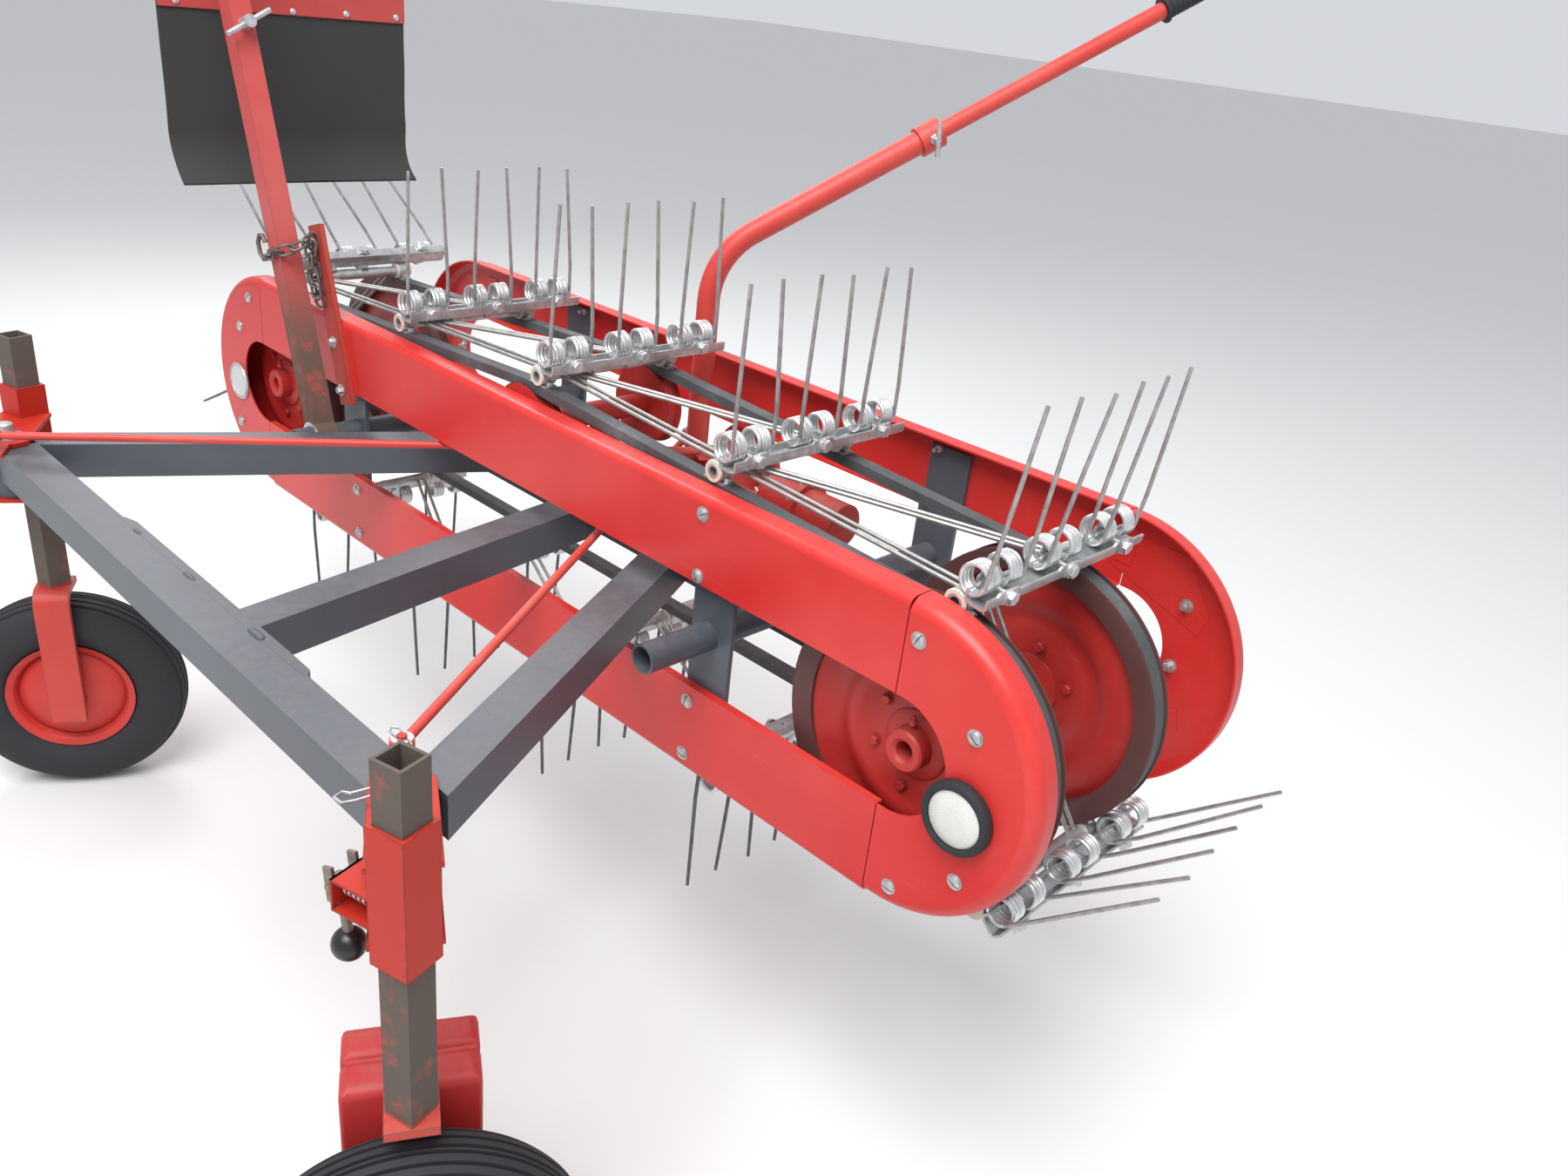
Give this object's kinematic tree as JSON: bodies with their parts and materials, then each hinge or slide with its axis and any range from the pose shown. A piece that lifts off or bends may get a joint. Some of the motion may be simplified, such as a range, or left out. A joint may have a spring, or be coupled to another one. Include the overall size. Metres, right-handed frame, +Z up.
{
  "type": "belt hay rake",
  "caption": "Front-carried belt hay rake with sprung tine bars running round two open hoods, two steered castor wheels and a swath curtain.",
  "frame": {"origin": "centre of the rear face of the coupling flange that bolts to the tractor", "axes": "+X along the rake to its right end, +Y backwards to the tractor, +Z up"},
  "size_m": [2.5676, 2.0547, 1.7202],
  "materials": {
    "hood_paint": "gloss",
    "red_paint": "satin",
    "grey_paint": "satin",
    "zinc_steel": "matte",
    "black_rubber": "matte",
    "tyre_rubber": "matte",
    "curtain_cloth": "matte",
    "lamp_plastic": "satin",
    "reflector_plastic": "gloss"
  },
  "bodies": {
    "rake_frame": {"front_upper_channel": "hood_paint", "front_lower_channel": "hood_paint", "front_left_cap": "hood_paint", "front_right_cap": "hood_paint", "rear_upper_channel": "hood_paint", "rear_lower_channel": "hood_paint", "rear_left_cap": "hood_paint", "rear_right_cap": "hood_paint", "marker_lamp": "lamp_plastic", "reflector": "reflector_plastic", "hook_bar": "red_paint", "left_side_frame": "grey_paint", "right_side_frame": "grey_paint", "inner_carrier": "grey_paint", "drive_gearbox": "red_paint", "coupling_neck": "red_paint", "front_crossbeam": "grey_paint", "left_beam": "grey_paint", "middle_beam": "grey_paint", "right_beam": "grey_paint", "front_belt": "black_rubber", "rear_belt": "black_rubber", "left_pulleys": "red_paint", "right_pulleys": "red_paint", "drive_pulleys": "red_paint", "tine_bar_1": "zinc_steel", "tine_bar_2": "zinc_steel", "tine_bar_3": "zinc_steel", "tine_bar_4": "zinc_steel", "tine_bar_5": "zinc_steel", "tine_bar_6": "zinc_steel", "tine_bar_7": "zinc_steel", "tine_bar_8": "zinc_steel", "tine_bar_9": "zinc_steel", "tine_bar_10": "zinc_steel", "tine_bar_11": "zinc_steel", "tie_rods": "zinc_steel"},
    "steering_lever": {"steering_lever": "red_paint", "lever_grip": "black_rubber"},
    "left_steering_rod": {"left_steering_rod": "red_paint"},
    "right_steering_rod": {"right_steering_rod": "red_paint"},
    "left_castor": {"left_castor_bracket": "red_paint"},
    "right_castor": {"right_castor_bracket": "red_paint"},
    "left_stem": {"left_castor_stem": "red_paint"},
    "right_stem": {"right_castor_stem": "red_paint", "right_castor_weights": "red_paint"},
    "left_wheel": {"left_wheel_rim": "red_paint", "left_wheel_tyre": "tyre_rubber"},
    "right_wheel": {"right_wheel_rim": "red_paint", "right_wheel_tyre": "tyre_rubber"},
    "curtain_arm": {"curtain_arm": "red_paint", "curtain_clamp": "zinc_steel"},
    "curtain": {"curtain_bar": "red_paint", "curtain_flap": "curtain_cloth"}
  },
  "joints": [
    {"name": "lever_turn", "type": "hinge", "parent": "rake_frame", "child": "steering_lever", "pos_m": [0, -0.155, 0.06], "axis": [0, 0, 1], "range_deg": [0, 60]},
    {"name": "left_rod_pin", "type": "hinge", "parent": "steering_lever", "child": "left_steering_rod", "pos_m": [0.06149, -0.1905, 0.082], "axis": [0, 0, 1], "range_deg": [-60, 0]},
    {"name": "right_rod_pin", "type": "hinge", "parent": "steering_lever", "child": "right_steering_rod", "pos_m": [-0.06149, -0.1195, 0.0645], "axis": [0, 0, 1], "range_deg": [-60, 0]},
    {"name": "left_castor_swivel", "type": "hinge", "parent": "rake_frame", "child": "left_castor", "pos_m": [-0.629, -1.151, 0], "axis": [0, 0, 1], "range_deg": [0, 60]},
    {"name": "right_castor_swivel", "type": "hinge", "parent": "rake_frame", "child": "right_castor", "pos_m": [0.629, -1.151, 0], "axis": [0, 0, 1], "range_deg": [0, 60]},
    {"name": "left_height", "type": "slide", "parent": "left_castor", "child": "left_stem", "axis": [0, 0, 1], "range_m": [-0.09, 0.12]},
    {"name": "right_height", "type": "slide", "parent": "right_castor", "child": "right_stem", "axis": [0, 0, 1], "range_m": [-0.09, 0.12]},
    {"name": "left_wheel_spin", "type": "hinge", "parent": "left_stem", "child": "left_wheel", "pos_m": [-0.76064, -1.075, -0.525], "axis": [0.866, -0.5, 0], "continuous": true},
    {"name": "right_wheel_spin", "type": "hinge", "parent": "right_stem", "child": "right_wheel", "pos_m": [0.76064, -1.227, -0.525], "axis": [0.866, -0.5, 0], "continuous": true},
    {"name": "curtain_arm_fold", "type": "hinge", "parent": "rake_frame", "child": "curtain_arm", "pos_m": [-0.504, -0.658, 0.01], "axis": [0, -1, 0], "range_deg": [-16, 8]},
    {"name": "curtain_hang", "type": "hinge", "parent": "curtain_arm", "child": "curtain", "pos_m": [-0.8294, -0.51, 0.92435], "axis": [0, -1, 0], "range_deg": [-8, 16]}
  ],
  "couplings": [
    {"joint": "left_rod_pin", "follows": "lever_turn", "ratio": -1},
    {"joint": "right_rod_pin", "follows": "lever_turn", "ratio": -1},
    {"joint": "left_castor_swivel", "follows": "lever_turn", "ratio": 1},
    {"joint": "right_castor_swivel", "follows": "lever_turn", "ratio": 1},
    {"joint": "curtain_hang", "follows": "curtain_arm_fold", "ratio": -1}
  ]
}
